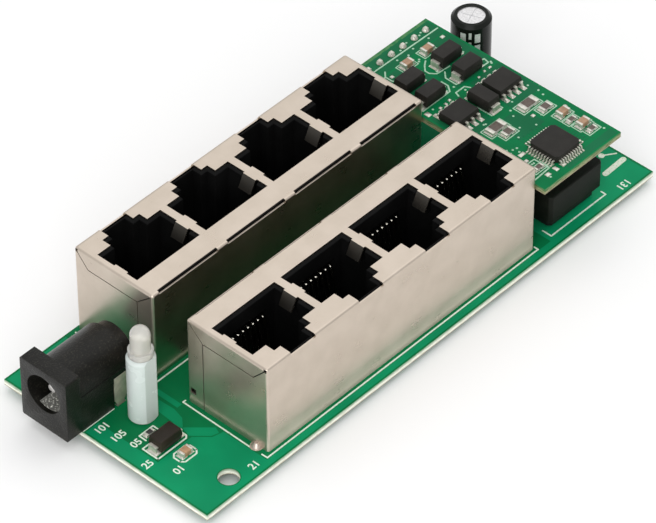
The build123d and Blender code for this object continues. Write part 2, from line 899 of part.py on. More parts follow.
def build():
    """Every sub-part, by the name of its file."""
    nodes = {"main_board": main_board()}
    shield = port_shield()
    housing = port_housing()
    contacts = port_contacts()
    for name, place in row_places().items():
        nodes[name + "_port_shield"] = place * shield
        nodes[name + "_port_housing"] = place * housing
        nodes[name + "_port_contacts"] = at_each([place], contacts)

    socket = socket_place()
    side = on_board(side_terminal_x() - socket_overhang, side_terminal_y()) * Rot(0, 0, 90)
    rear = socket * Pos(rear_terminal_x(), 0, 0)
    rear_top = socket_axis_height + 2 * socket_pin_radius
    nodes["power_socket_body"] = socket * socket_body()
    nodes["power_socket_pin"] = socket * socket_pin()
    nodes["power_socket_sleeve_spring"] = socket * sleeve_spring()
    nodes["power_socket_rear_terminal"] = rear * flat_terminal(rear_terminal_width, rear_top)
    nodes["power_socket_side_terminal"] = side * flat_terminal(
        side_terminal_width, socket_shelf + 0.8
    )

    light = on_board(light_from_end, light_row)
    nodes["indicator_spacer"] = light * light_spacer()
    nodes["indicator_lens"] = light * light_lens()
    nodes["indicator_leads"] = at_each([light], light_leads())

    surge = beside_light(*surge_diode_place)
    nodes["surge_diode_case"] = surge * diode_case()
    nodes["surge_diode_leads"] = at_each([surge], diode_leads())
    nodes["input_capacitor"] = beside_light(*input_capacitor_place) * chip(chip_capacitor)
    nodes["indicator_resistor"] = beside_light(*light_resistor_place) * chip(chip_small)

    nodes["converter_board"] = converter_board()
    nodes["header_strip"] = header_strip()
    nodes["header_pins"] = header_pins_set()
    nodes["choke_case"] = choke_place() * choke_case()
    nodes["choke_base"] = choke_place() * choke_base()
    nodes["choke_terminals"] = at_each([choke_place()], choke_terminals())
    nodes["smoothing_capacitor_can"] = can_place() * capacitor_can()
    nodes["smoothing_capacitor_sleeve"] = can_place() * capacitor_sleeve()
    nodes["smoothing_capacitor_bung"] = can_place() * capacitor_bung()
    nodes["smoothing_capacitor_leads"] = at_each([can_place()], capacitor_leads())

    catch = on_converter(*catch_diode_place) * Rot(0, 0, 90)
    nodes["rectifier_cases"] = at_each(rectifier_places(), [diode_case()])
    nodes["rectifier_leads"] = at_each(rectifier_places(), diode_leads())
    nodes["catch_diode_case"] = catch * diode_case()
    nodes["catch_diode_leads"] = at_each([catch], diode_leads())
    switches = [on_converter(x, switch_row) for x in switch_columns]
    nodes["switch_transistor_cases"] = at_each(switches, [switch_case()])
    nodes["switch_transistor_leads"] = at_each(switches, switch_lead_rows())
    controller = on_converter(*controller_place)
    nodes["controller_case"] = controller * controller_case()
    nodes["controller_leads"] = at_each([controller], controller_lead_rows())

    chips = {
        "sense_resistors": (sense_resistor_places, chip_large),
        "medium_resistors": (medium_resistor_places, chip_medium),
        "small_resistors": (small_resistor_places, chip_small),
        "converter_capacitors": (converter_capacitor_places, chip_capacitor),
    }
    for name, (places, size) in chips.items():
        nodes[name] = at_each([on_converter(*place) for place in places], [chip(size)])
    return nodes


for name, shape in build().items():
    export_step(shape, "parts/" + name + ".step")
    volume = sum(solid.volume for solid in shape.solids())
    print(name, len(shape.solids()), "solids", round(volume, 2), "mm3")
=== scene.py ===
# %% [markdown]
# # Power over ethernet panel
# A narrow green circuit board that feeds power into network cables. It carries two rows of
# four upright ports in folded metal shields, a barrel socket, a small light on a white
# spacer, and a second board on header pins. The solids come packed from the CAD model. This
# script gives them their finishes, and adds what a board maker prints, plates and solders.

import math
import random

import bmesh
import bpy
from mathutils import Matrix, Vector


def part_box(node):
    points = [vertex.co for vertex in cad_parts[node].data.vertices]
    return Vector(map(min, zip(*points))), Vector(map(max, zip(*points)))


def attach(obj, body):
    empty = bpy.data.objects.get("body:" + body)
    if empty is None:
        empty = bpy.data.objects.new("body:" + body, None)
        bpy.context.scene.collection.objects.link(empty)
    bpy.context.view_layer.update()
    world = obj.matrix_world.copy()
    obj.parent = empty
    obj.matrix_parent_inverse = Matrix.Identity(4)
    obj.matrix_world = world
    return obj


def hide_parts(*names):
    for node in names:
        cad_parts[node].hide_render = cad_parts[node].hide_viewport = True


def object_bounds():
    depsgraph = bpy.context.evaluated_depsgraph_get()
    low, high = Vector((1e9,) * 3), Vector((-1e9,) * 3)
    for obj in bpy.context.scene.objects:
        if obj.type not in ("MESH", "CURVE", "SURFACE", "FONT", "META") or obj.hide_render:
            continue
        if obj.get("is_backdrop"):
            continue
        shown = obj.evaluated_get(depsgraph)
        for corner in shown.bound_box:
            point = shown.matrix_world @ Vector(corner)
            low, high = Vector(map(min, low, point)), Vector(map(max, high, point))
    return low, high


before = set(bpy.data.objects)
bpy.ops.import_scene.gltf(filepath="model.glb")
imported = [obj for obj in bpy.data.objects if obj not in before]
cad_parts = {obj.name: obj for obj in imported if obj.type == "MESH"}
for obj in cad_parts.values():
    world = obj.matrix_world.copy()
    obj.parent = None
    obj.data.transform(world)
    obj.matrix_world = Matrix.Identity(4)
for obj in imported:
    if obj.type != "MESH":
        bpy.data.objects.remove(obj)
cad_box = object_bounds()
print(len(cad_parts), "solids, box", [tuple(round(v, 4) for v in p) for p in cad_box])

# %% [markdown]
# Places on a board are easiest to give in millimetres from one corner, here the corner
# beside the mounting hole. Heights come from the faces of the two boards, so ink and pads
# always lie on the board that carries them.

# %% Units and places
MM = 0.001
PORTS = 4
PORT_PITCH = 13.97 * MM
board_low, board_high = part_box("main_board")
converter_low, converter_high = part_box("converter_board")
board_top = board_high[2]
converter_top = converter_high[2]


def place(x, y, z=board_top):
    """A point over the main board, from its near corner in millimetres, at height z."""
    return Vector((board_low[0] + x * MM, board_low[1] + y * MM, z))


print("board", [round((h - l) / MM, 2) for l, h in zip(board_low, board_high)], "mm")

# %% [markdown]
# ## Writing finishes
# A finish is a small program of shader nodes. Written as plain arithmetic it is easy to
# read, so a signal wraps one socket and turns +, -, * and comparisons into Math nodes. Every
# other node comes from one method.


# %% Shader arithmetic
class Signal:
    """One output socket of a shader tree, with arithmetic."""

    def __init__(self, finish, socket):
        self.finish = finish
        self.socket = socket

    def maths(self, operation, first, second=0.0):
        inputs = {0: first, 1: second}
        return self.finish.node("ShaderNodeMath", {"operation": operation}, inputs)

    def __add__(self, other):
        return self.maths("ADD", self, other)

    def __sub__(self, other):
        return self.maths("SUBTRACT", self, other)

    def __rsub__(self, other):
        return self.maths("SUBTRACT", other, self)

    def __mul__(self, other):
        return self.maths("MULTIPLY", self, other)

    def __gt__(self, other):
        return self.maths("GREATER_THAN", self, other)

    def __lt__(self, other):
        return self.maths("LESS_THAN", self, other)

    def __abs__(self):
        return self.maths("ABSOLUTE", self)

    __radd__ = __add__
    __rmul__ = __mul__


class Finish:
    """A material, with the nodes that vary it over a surface."""

    def __init__(self, name, colour, roughness, metallic=0.0, **constants):
        self.material = bpy.data.materials.new(name)
        self.material.use_nodes = True
        self.tree = self.material.node_tree
        self.shader = self.tree.nodes["Principled BSDF"]
        self.set("Base Color", (*colour, 1.0))
        self.set("Roughness", roughness)
        self.set("Metallic", metallic)
        for socket, value in constants.items():
            self.set(socket.replace("_", " "), value)

    def plug(self, value, socket):
        if isinstance(value, Signal):
            self.tree.links.new(value.socket, socket)
        else:
            socket.default_value = value

    def set(self, socket, value):
        self.plug(value, self.shader.inputs[socket])

    def node(self, kind, settings=None, inputs=None, output=0):
        """Any node: its options, then its sockets, by name or number."""
        made = self.tree.nodes.new(kind)
        for name, value in (settings or {}).items():
            setattr(made, name, value)
        for socket, value in (inputs or {}).items():
            self.plug(value, made.inputs[socket])
        return Signal(self, made.outputs[output])

    def spot(self, stretch=(1.0, 1.0, 1.0)):
        """Where the surface point is on the object, stretched along its axes."""
        point = self.node("ShaderNodeTexCoord", output="Object")
        return self.node("ShaderNodeMapping", inputs={"Vector": point, "Scale": stretch})

    def grain(self, size, detail=2.0, stretch=(1.0, 1.0, 1.0)):
        """Noise from 0 to 1 whose lumps are about size millimetres across."""
        inputs = {"Vector": self.spot(stretch), "Scale": 1.0 / (size * MM), "Detail": detail}
        return self.node("ShaderNodeTexNoise", inputs=inputs)

    def fade(self, signal, low, high):
        """Smooth step of a signal, from 0 at low to 1 at high."""
        inputs = {"Value": signal, "From Min": low, "From Max": high}
        return self.node("ShaderNodeMapRange", {"interpolation_type": "SMOOTHSTEP"}, inputs)

    def axis(self, name, source="position"):
        """One coordinate of the surface point, or of the way the surface faces."""
        if source == "facing":
            vector = self.node("ShaderNodeNewGeometry", output="Normal")
        else:
            vector = self.node("ShaderNodeTexCoord", output="Object")
        return self.node("ShaderNodeSeparateXYZ", inputs={0: vector}, output=name)

    def blend(self, factor, first, second):
        """Colour between two colours."""
        sockets = {0: factor, 6: first, 7: second}
        return self.node("ShaderNodeMix", {"data_type": "RGBA"}, sockets, output=2)

    def relief(self, height, depth):
        """Bump: height runs from 0 to 1 and stands for depth millimetres."""
        inputs = {"Height": height, "Distance": depth * MM, "Strength": 1.0}
        self.set("Normal", self.node("ShaderNodeBump", inputs=inputs))

    def clouded(self, cloud, colour, share):
        """Base colour that wanders between a colour and a darker share of it."""
        factor = self.fade(cloud, 0.3, 0.7)
        self.set("Base Color", self.blend(factor, scaled(colour, share), tint(*colour)))


def tint(red, green, blue):
    return (red, green, blue, 1.0)


def scaled(colour, share, lift=0.0):
    """A colour made darker or paler."""
    return tint(*(value * share + lift for value in colour[:3]))


# %% [markdown]
# ## Solder mask
# A circuit board is glass cloth in resin, plated with copper and coated in green lacquer.
# The lacquer is glossy, a little uneven, and lighter where copper lies under it. Its sawn
# edges show the bare laminate: pale, with fine layers of cloth, greenish under the lacquer,
# and painted darker brown at the foot as painted shade. One finish does both, and the way
# the surface faces tells it which is which.


# %% Green lacquer over laminate
lacquer_plain = tint(0.0030, 0.184, 0.061)
lacquer_on_copper = tint(0.0050, 0.290, 0.121)
# Painted shade: a darker lacquer for the shaded gap between the rows of ports.
painted_gap_shade = tint(0.0160, 0.050, 0.022)
lacquer_on_converter = tint(0.0110, 0.152, 0.062)
pale_edge = (tint(0.66, 0.66, 0.54), tint(0.98, 0.99, 0.88))
# Painted shade: the sawn edge darkens to this brown towards its foot.
sawn_foot_shade = tint(0.36, 0.30, 0.21)
dark_edge = (tint(0.085, 0.120, 0.050), tint(0.34, 0.36, 0.20))
lacquer_sides = (lacquer_plain, lacquer_plain)
GLOW_DEPTH, GLOW_RISE, GLOW_SHARE = 0.62 * MM, 0.1 * MM, 0.75
# Height band of the painted shade at the foot of the sawn edge.
FOOT_SHADE_TOP, FOOT_SHADE_FULL = 0.26 * MM, 0.1 * MM
RAGGED_DEPTH, RAGGED_FADE = 1.3 * MM, 0.25 * MM


def solder_mask(name, colour, layers=pale_edge, board="main_board", bare_from=None):
    """Lacquered board with layered edges. Past bare_from along Y its face is bare too."""
    finish = Finish(name, colour[:3], 0.34, Specular_IOR_Level=0.06)
    (_, _, foot), (_, _, face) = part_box(board)
    cloud = finish.grain(9.0)
    weave = finish.grain(0.5, 1.0)
    mask = finish.blend(finish.fade(cloud, 0.35, 0.7), scaled(colour, 0.82), colour)
    cloth = finish.grain(0.35, 3.0, (0.25, 0.25, 3.0))
    edge = finish.blend(finish.fade(cloth, 0.3, 0.6), *layers)
    height = finish.axis("Z") + finish.grain(0.6, 2.0) * (0.12 * MM)
    glow = finish.fade(height, face - GLOW_DEPTH, face + GLOW_RISE) * GLOW_SHARE
    edge = finish.blend(glow, edge, colour)
    # Painted shade at the foot of the sawn edge.
    foot_shade = finish.fade(height, foot + FOOT_SHADE_TOP, foot + FOOT_SHADE_FULL)
    edge = finish.blend(foot_shade, edge, sawn_foot_shade)
    sawn = finish.fade(abs(finish.axis("Z", "facing")), 0.7, 0.4)
    if bare_from is not None:
        ragged = finish.axis("Y") + finish.grain(0.9, 4.0) * RAGGED_DEPTH
        bare = finish.fade(ragged, bare_from, bare_from + RAGGED_FADE)
        sawn = sawn.maths("MAXIMUM", sawn, bare)
    finish.set("Base Color", finish.blend(sawn, mask, edge))
    finish.set("Roughness", 0.26 + cloud * 0.14 + sawn * 0.35)
    finish.relief(weave, 0.004)
    return finish.material


main_mask = solder_mask("lacquer_main_board", lacquer_plain)
copper_mask = solder_mask("lacquer_over_copper", lacquer_on_copper, lacquer_sides)
thin_copper_mask = solder_mask("lacquer_over_thin_copper", lacquer_on_converter, lacquer_sides)
# Painted shade for the board in the gap between the rows.
gap_shade_mask = solder_mask("lacquer_with_painted_shade", painted_gap_shade, lacquer_sides)
bare_line = converter_high[1] - 0.1 * MM
converter_mask = solder_mask(
    "lacquer_converter_board", lacquer_plain, dark_edge, "converter_board", bare_line
)
print("solder mask: plain, over copper, and with a ragged bare edge")

# %% [markdown]
# ## Shields
# Each row of ports has a shield folded from tinned steel. The tin is satin, warm grey, with
# faint rolling lines and cloudy handling marks. Metal takes its look from what it
# reflects, so roughness and a trace of relief do most of it. Near the board the front wall
# is made less like a mirror, and the end walls a little, so they show the tin's lit colour
# in place of the shaded board that they would reflect: painted light. The springs that
# bend down into the ports are painted dark tin, as painted shade.


# %% Tinned steel sheet
dark_tin, light_tin = tint(0.565, 0.488, 0.408), tint(0.630, 0.547, 0.464)
# Painted shade: the springs inside the ports are drawn as dark tin.
spring_painted_shade = tint(0.105, 0.098, 0.086)
ROW_END, WALL = 1.0 * MM, 0.3 * MM
# Painted light: the foot of the front wall and the end walls show the tin's lit colour, not the
# shade they would reflect.
LIT_FOOT_START, LIT_FOOT_FULL = 5.0 * MM, 0.8 * MM
FRONT_FOOT_LIGHT, END_WALL_LIGHT = 0.8, 0.14


def tinned_sheet():
    """Satin tin, made less like a mirror at the foot of the front wall and a little on the end
    walls, as painted light.
    """
    finish = Finish("tinned_sheet", (0.585, 0.515, 0.436), 0.27, 1.0)
    cloud = finish.grain(4.0, 4.0)
    rolled = finish.grain(0.25, 2.0, (0.12, 1.0, 1.0))
    warm = finish.fade(cloud, 0.3, 0.75)
    colour = finish.blend(warm, dark_tin, light_tin)
    row_low, row_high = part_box("front_port_shield")
    x = finish.axis("X")
    within_row = (x > row_low[0] + ROW_END) * (x < row_high[0] - ROW_END)
    spring = within_row * (abs(finish.axis("X", "facing")) > 0.25)
    spring = spring * (abs(finish.axis("Z", "facing")) > 0.1)
    # Painted shade on the springs, which lie in the shade of the ports.
    finish.set("Base Color", finish.blend(spring, colour, spring_painted_shade))
    # Painted light: less metal near the foot of the front wall and on the end wall.
    foot = finish.fade(finish.axis("Z"), board_top + LIT_FOOT_START, board_top + LIT_FOOT_FULL)
    front_wall = finish.axis("Y") < row_low[1] + WALL
    end_wall = x < row_low[0] + WALL
    finish.set("Metallic", 1.0 - front_wall * foot * FRONT_FOOT_LIGHT - end_wall * END_WALL_LIGHT)
    finish.set("Roughness", 0.23 + cloud * 0.10 + rolled * 0.02)
    finish.relief(finish.grain(4.0, 0.0), 0.004)
    return finish.material


shield_finish = tinned_sheet()

# %% [markdown]
# ## Moulded plastic
# The port housings, the socket, the header strip and the cases of the chips are all
# moulded, yet they differ: the socket has a coarse grain with painted glints in it, chip
# cases a fine dusty one, and the housings are smooth. One function makes them all from a
# colour and a grain.


# %% Moulded plastic
def moulded(name, colour, roughness, grain_size, depth, worn=0.0, shine=0.25, painted_glints=0.0):
    """Moulded plastic with a grain, paler worn patches, and pale specks as painted glints if
    asked for.
    """
    finish = Finish(name, colour, roughness, Specular_IOR_Level=shine)
    grain = finish.grain(grain_size, 3.0)
    cloud = finish.grain(grain_size * 14.0, 3.0)
    pale = scaled(colour, 1.35 + worn, 0.001)
    mixed = finish.blend(finish.fade(cloud, 0.35, 0.8), tint(*colour), pale)
    # Painted glints: pale specks in the grain.
    if painted_glints:
        mixed = finish.blend(finish.fade(grain, 0.5, 0.78), mixed, scaled(colour, painted_glints))
    finish.set("Base Color", mixed)
    finish.set("Roughness", roughness - 0.06 + cloud * 0.12)
    finish.relief(grain, depth)
    return finish.material


housing_finish = moulded("port_plastic", (0.004, 0.004, 0.004), 0.34, 0.3, 0.004, shine=0.09)
# Painted glints in the socket's grain.
socket_finish = moulded(
    "socket_plastic", (0.0042, 0.0040, 0.0030), 0.32, 0.26, 0.06, 0.3, 0.24, painted_glints=7.0
)
strip_finish = moulded("strip_plastic", (0.008, 0.008, 0.008), 0.45, 0.2, 0.006)
chip_finish = moulded("chip_moulding", (0.0165, 0.0150, 0.0130), 0.50, 0.12, 0.006, shine=0.2)
diode_finish = moulded("diode_moulding", (0.0155, 0.0110, 0.0070), 0.42, 0.25, 0.012, 0.8)
ferrite_finish = moulded("ferrite", (0.006, 0.007, 0.005), 0.55, 0.18, 0.012, 0.2, 0.12)
# The lining's pale specks are painted glints.
lining_finish = moulded(
    "worn_bore_lining", (0.17, 0.17, 0.155), 0.40, 0.30, 0.03, shine=0.4, painted_glints=7.0
)
bung_finish = moulded("rubber_bung", (0.015, 0.015, 0.015), 0.7, 0.3, 0.01)
sleeve_finish = moulded("shrunk_sleeve", (0.006, 0.0075, 0.006), 0.24, 1.2, 0.01, shine=0.16)
print("moulded finishes ready")

# %% [markdown]
# ## Plated metal
# Leads and pads are tinned, and solder is the same metal left as it froze: bright, soft
# edged, with slight dimples. Contacts are flashed with gold. The can of the capacitor is
# bare aluminium.


# %% Plated metal
def plated(name, colour, roughness, grain_size, depth, metal=1.0):
    """Metal with dimples. Below 1, metal is the share of it that isn't under a dull skin."""
    finish = Finish(name, colour, roughness, metal)
    grain = finish.grain(grain_size, 2.0)
    finish.set("Roughness", roughness - 0.08 + grain * 0.16)
    finish.clouded(grain, colour, 0.8)
    finish.relief(grain, depth)
    return finish.material


lead_finish = plated("tinned_lead", (0.74, 0.72, 0.63), 0.36, 0.4, 0.004, 0.68)
terminal_finish = plated("terminal_tin", (0.68, 0.66, 0.53), 0.40, 1.0, 0.01, 0.6)
solder_finish = plated("solder", (0.74, 0.72, 0.64), 0.30, 0.5, 0.015, 0.62)
stained_solder = plated("stained_solder", (0.64, 0.54, 0.47), 0.32, 0.6, 0.02, 0.8)
gold_finish = plated("gold_flash", (0.78, 0.75, 0.66), 0.16, 0.5, 0.003)
can_finish = plated("can_aluminium", (0.87, 0.86, 0.865), 0.36, 0.3, 0.004)
pin_finish = plated("nickel_pin", (0.75, 0.73, 0.70), 0.22, 0.5, 0.003)
scored_metal = plated("scored_aluminium", (0.60, 0.60, 0.61), 0.4, 0.3, 0.004)

# %% [markdown]
# ## Spacer and light
# The spacer is natural nylon: light goes in a little way and comes out again beside where
# it went in. Subsurface scattering does that. The light's lens is milky epoxy, so it gets
# scattering too, and a glossier skin.


# %% Translucent plastic
def translucent(name, colour, roughness, reach, weight, clear=0.0):
    """Plastic that light goes into. The share that is clear lets things behind it show."""
    finish = Finish(
        name, colour, roughness, Subsurface_Weight=weight, Subsurface_Radius=(1.0, 1.0, 1.0),
        Subsurface_Scale=reach * MM, Transmission_Weight=clear,
    )
    cloud = finish.grain(2.5, 2.0)
    finish.clouded(cloud, colour, 0.97)
    finish.set("Roughness", roughness - 0.05 + cloud * 0.1)
    finish.relief(cloud, 0.004)
    return finish.material


spacer_finish = translucent("natural_nylon", (0.63, 0.69, 0.665), 0.26, 0.8, 0.6)
lens_finish = translucent("milky_epoxy", (0.93, 0.91, 0.85), 0.08, 1.0, 0.8, 0.55)

# %% [markdown]
# ## Ceramic parts and ink
# Chip capacitors are tan ceramic, chip resistors carry a dark film on white ceramic. The
# white ink of the board is thin, so some green shows through it in patches.


# %% Ceramic, film and ink
def ceramic(name, colour, roughness=0.4):
    finish = Finish(name, colour, roughness)
    cloud = finish.grain(0.5, 3.0)
    finish.clouded(cloud, colour, 0.72)
    finish.relief(cloud, 0.006)
    return finish.material


tan_ceramic = ceramic("tan_ceramic", (0.50, 0.29, 0.16))
brown_ceramic = ceramic("brown_ceramic", (0.42, 0.25, 0.15))
white_ceramic = ceramic("white_ceramic", (0.62, 0.60, 0.56))
resistor_film = ceramic("resistor_film", (0.110, 0.080, 0.062), 0.3)
dark_film = ceramic("dark_film", (0.035, 0.032, 0.032), 0.35)


def ink(name, colour):
    finish = Finish(name, colour, 0.6)
    thin = finish.fade(finish.grain(0.35, 3.0), 0.25, 0.55)
    green = tint(colour[0] * 0.55, colour[1] * 0.8, colour[2] * 0.6)
    finish.set("Base Color", finish.blend(thin, green, tint(*colour)))
    return finish.material


white_ink = ink("board_ink", (0.78, 0.86, 0.76))
thin_ink = ink("thin_board_ink", (0.40, 0.60, 0.45))
tinned_strip = ink("tinned_strip", (0.72, 0.76, 0.64))
sleeve_ink = ink("sleeve_ink", (0.60, 0.62, 0.60))

# %% [markdown]
# ## Finishes on the solids
# Each solid takes its finish by name. The ones that are also softened below pass theirs on.

# %% Finish of every solid
finished_nodes = (
    (main_mask, "main_board"),
    (converter_mask, "converter_board"),
    (shield_finish, "front_port_shield rear_port_shield"),
    (housing_finish, "front_port_housing rear_port_housing"),
    (gold_finish, "front_port_contacts rear_port_contacts"),
    (socket_finish, "power_socket_body"),
    (pin_finish, "power_socket_pin"),
    (terminal_finish, "power_socket_rear_terminal power_socket_side_terminal"),
    (spacer_finish, "indicator_spacer"),
    (lens_finish, "indicator_lens"),
    (diode_finish, "surge_diode_case"),
    (tan_ceramic, "input_capacitor"),
    (dark_film, "indicator_resistor"),
    (strip_finish, "header_strip choke_base"),
    (ferrite_finish, "choke_case"),
    (can_finish, "smoothing_capacitor_can"),
    (sleeve_finish, "smoothing_capacitor_sleeve"),
    (bung_finish, "smoothing_capacitor_bung"),
    (chip_finish, "rectifier_cases catch_diode_case switch_transistor_cases controller_case"),
    (resistor_film, "sense_resistors medium_resistors small_resistors"),
    (brown_ceramic, "converter_capacitors"),
)
lead_names = ("_leads", "_terminals", "_pins", "_spring")
finish_of = {node: lead_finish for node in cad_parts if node.endswith(lead_names)}
finish_of.update((node, finish) for finish, nodes in finished_nodes for node in nodes.split())
for name, finish in finish_of.items():
    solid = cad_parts[name]
    solid.data.materials.clear()
    solid.data.materials.append(finish)
print(len(finish_of), "solids finished of", len(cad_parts))

# %% [markdown]
# ## Making pieces
# Every new piece is a mesh in a bmesh, turned into an object that rides on the board. Flat
# work such as pads, tracks and ink is made of thin bars and discs, each a closed form.


# %% Pieces and thin work
def finished(mesh, name, material, smooth=0.0):
    """Object of a bmesh on the part's only body, shaded round at edges under smooth degrees."""
    data = bpy.data.meshes.new(name)
    mesh.to_mesh(data)
    mesh.free()
    data.materials.append(material)
    if smooth:
        data.shade_smooth()
        data.set_sharp_from_angle(angle=math.radians(smooth))
    piece = bpy.data.objects.new(name, data)
    bpy.context.scene.collection.objects.link(piece)
    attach(piece, "root")
    return piece


def add_block(mesh, low, high, turn=0.0):
    """Box between two corners, turned about its own upright axis."""
    low, high = Vector(low), Vector(high)
    made = bmesh.ops.create_cube(mesh, size=1.0)["verts"]
    size = Matrix.Diagonal((*(high - low), 1.0))
    where = Matrix.Translation((low + high) / 2) @ Matrix.Rotation(turn, 4, "Z") @ size
    bmesh.ops.transform(mesh, matrix=where, verts=made)
    return made


def add_disc(mesh, centre, radius, height, top_radius=None, sides=16):
    """Low cylinder or cone that stands on the point centre."""
    top = radius if top_radius is None else top_radius
    made = bmesh.ops.create_cone(
        mesh, cap_ends=True, segments=sides, radius1=radius, radius2=top, depth=height
    )["verts"]
    lift = Vector((0.0, 0.0, height / 2))
    bmesh.ops.translate(mesh, vec=Vector(centre) + lift, verts=made)
    return made


def add_line(mesh, points, width, thickness, closed=False):
    """Flat line through points: a thin bar for each stretch, and a disc at each point."""
    ends = points[1:] + points[:1] if closed else points[1:]
    for start, end in zip(points, ends):
        way = end - start
        half = Vector((way.length / 2, width / 2, 0.0))
        middle = (start + end) / 2
        lift = Vector((0.0, 0.0, thickness))
        turn = math.atan2(way.y, way.x)
        add_block(mesh, middle - half, middle + half + lift, turn)
    for point in points:
        add_disc(mesh, point, width / 2, thickness * 1.02, sides=12)


def soften(mesh, width, segments=2):
    """Small bevel on every edge that turns by more than 30 degrees."""
    limit = math.radians(30.0)
    sharp = [e for e in mesh.edges if e.is_manifold and e.calc_face_angle(0.0) > limit]
    bmesh.ops.bevel(
        mesh, geom=sharp, offset=width, segments=segments, profile=0.5, affect="EDGES",
        clamp_overlap=True, material=-1,
    )


# %% [markdown]
# ## Softened solids
# No moulding has a perfectly sharp edge, and the thin bright line along an edge makes it
# look real. A copy of the solid is welded, its flat faces are made whole again, and its
# sharp edges get a small bevel. The copy then stands for the solid.


# %% Softened copies
WELD, FLAT = 0.002 * MM, math.radians(1.0)


def welded(node):
    """Mesh of a solid, with the vertices that its faces share joined."""
    mesh = bmesh.new()
    mesh.from_mesh(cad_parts[node].data)
    bmesh.ops.remove_doubles(mesh, verts=mesh.verts, dist=WELD)
    return mesh


def softened_copy(node, width):
    """Copy of a solid with rounded edges, width millimetres wide, that stands for it."""
    mesh = welded(node)
    bmesh.ops.dissolve_limit(mesh, angle_limit=FLAT, verts=mesh.verts, edges=mesh.edges)
    soften(mesh, width * MM, 3)
    piece = finished(mesh, node + "_softened", finish_of[node], smooth=40.0)
    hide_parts(node)
    return piece


edge_width = {
    "front_port_housing": 0.05, "rear_port_housing": 0.05,
    "front_port_contacts": 0.06, "rear_port_contacts": 0.06, "power_socket_body": 0.18,
    "power_socket_rear_terminal": 0.05, "power_socket_side_terminal": 0.05,
    "surge_diode_case": 0.12, "rectifier_cases": 0.045, "catch_diode_case": 0.045,
    "switch_transistor_cases": 0.04, "controller_case": 0.03, "choke_case": 0.12,
    "choke_base": 0.1, "header_strip": 0.08,
}
for node, width in edge_width.items():
    print(node, len(softened_copy(node, width).data.polygons), "faces")

# %% [markdown]
# ## The places of the small solids
# Leads and chips repeat, and one solid's mesh holds them all. Walking its welded mesh from
# vertex to vertex finds each separate lead, and the box around it says where its pad is.


# %% The separate forms in a solid
def separate_forms(node):
    """Vertex places of each separate form in a solid."""
    mesh = welded(node)
    waiting = set(mesh.verts)
    forms = []
    while waiting:
        reached = [waiting.pop()]
        for vertex in reached:
            for edge in vertex.link_edges:
                other = edge.other_vert(vertex)
                if other in waiting:
                    waiting.remove(other)
                    reached.append(other)
        forms.append([vertex.co.copy() for vertex in reached])
    mesh.free()
    return forms


def separate_boxes(node):
    """Low and high corner of each separate form in a solid."""
    boxes = [
        tuple(Vector([pick(axis) for axis in zip(*form)]) for pick in (min, max))
        for form in separate_forms(node)
    ]
    return sorted(boxes, key=lambda box: tuple(box[0]))


def ends_below(node):
    """Middle of the lowest end of each form in a solid that passes through the board."""
    for form in separate_forms(node):
        lowest = min(point.z for point in form)
        end = [point for point in form if point.z < lowest + 0.05 * MM]
        if lowest < board_low[2]:
            yield sum(end, Vector()) / len(end)


print(len(separate_boxes("controller_leads")), "leads on the controller")

# %% [markdown]
# ## Chip parts
# A chip resistor or capacitor is a ceramic block with plated ends, and a resistor has a dark
# film on its face. Its solid gives the size and place. Softened blocks show the body, the
# ends and the film, and together they stand for the solid.

# %% Chip parts from their solids
END_SHARE, FILM_SHARE = 0.2, 0.56
BODY_EDGE, END_EDGE, FILM_EDGE = 0.03 * MM, 0.07 * MM, 0.015 * MM


def chip_part(node, body_finish, film_finish=None):
    """Bodies, plated ends and films of every chip in a solid."""
    body, ends, film = bmesh.new(), bmesh.new(), bmesh.new()
    skin = Vector((0.0, 0.03, 0.03)) * MM
    for low, high in separate_boxes(node):
        end = Vector(((high.x - low.x) * END_SHARE, 0.0, 0.0))
        add_block(body, low + end * 0.9 + skin, high - end * 0.9 - skin)
        add_block(ends, low, (low.x + end.x, high.y, high.z))
        add_block(ends, (high.x - end.x, low.y, low.z), high)
        half, middle = (high.x - low.x) * FILM_SHARE / 2, (low.x + high.x) / 2
        film_low = (middle - half, low.y + skin.y, high.z - 2.0 * skin.z)
        add_block(film, film_low, (middle + half, high.y - skin.y, high.z - 0.3 * skin.z))
    soften(body, BODY_EDGE)
    soften(ends, END_EDGE, 3)
    pieces = [
        finished(body, node + "_bodies", body_finish, 40.0),
        finished(ends, node + "_ends", solder_finish, 40.0),
    ]
    if film_finish:
        soften(film, FILM_EDGE)
        pieces.append(finished(film, node + "_films", film_finish, 40.0))
    else:
        film.free()
    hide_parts(node)


chip_part("input_capacitor", tan_ceramic)
chip_part("converter_capacitors", brown_ceramic)
chip_part("indicator_resistor", white_ceramic, dark_film)
resistor_sizes = ("sense", "medium", "small")
for size in resistor_sizes:
    chip_part(size + "_resistors", white_ceramic, resistor_film)
print("chip parts dressed")

# %% [markdown]
# ## Pads and solder
# Every lead and chip end sits on a pad, a little larger than itself, and the solder
# between them climbs the metal in a soft slope. A pad is a thin block. A fillet of solder
# is a block whose upper face is drawn in, with its edges rounded.

# %% Pads and fillets
PAD_THICKNESS, FILLET_EDGE = 0.035 * MM, 0.05 * MM
CHIP_SPREAD, CHIP_CLIMB = (0.22, 0.06), 0.3


def add_fillet(mesh, low, high, ground, height):
    """Slope of solder over the rectangle, drawn in towards its top."""
    made = add_block(mesh, (low[0], low[1], ground), (high[0], high[1], ground + height))
    top = [v for v in made if v.co.z > ground + height / 2]
    middle = Vector(((low[0] + high[0]) / 2, (low[1] + high[1]) / 2, ground + height))
    bmesh.ops.scale(mesh, vec=(0.5, 0.5, 1.0), space=Matrix.Translation(-middle), verts=top)


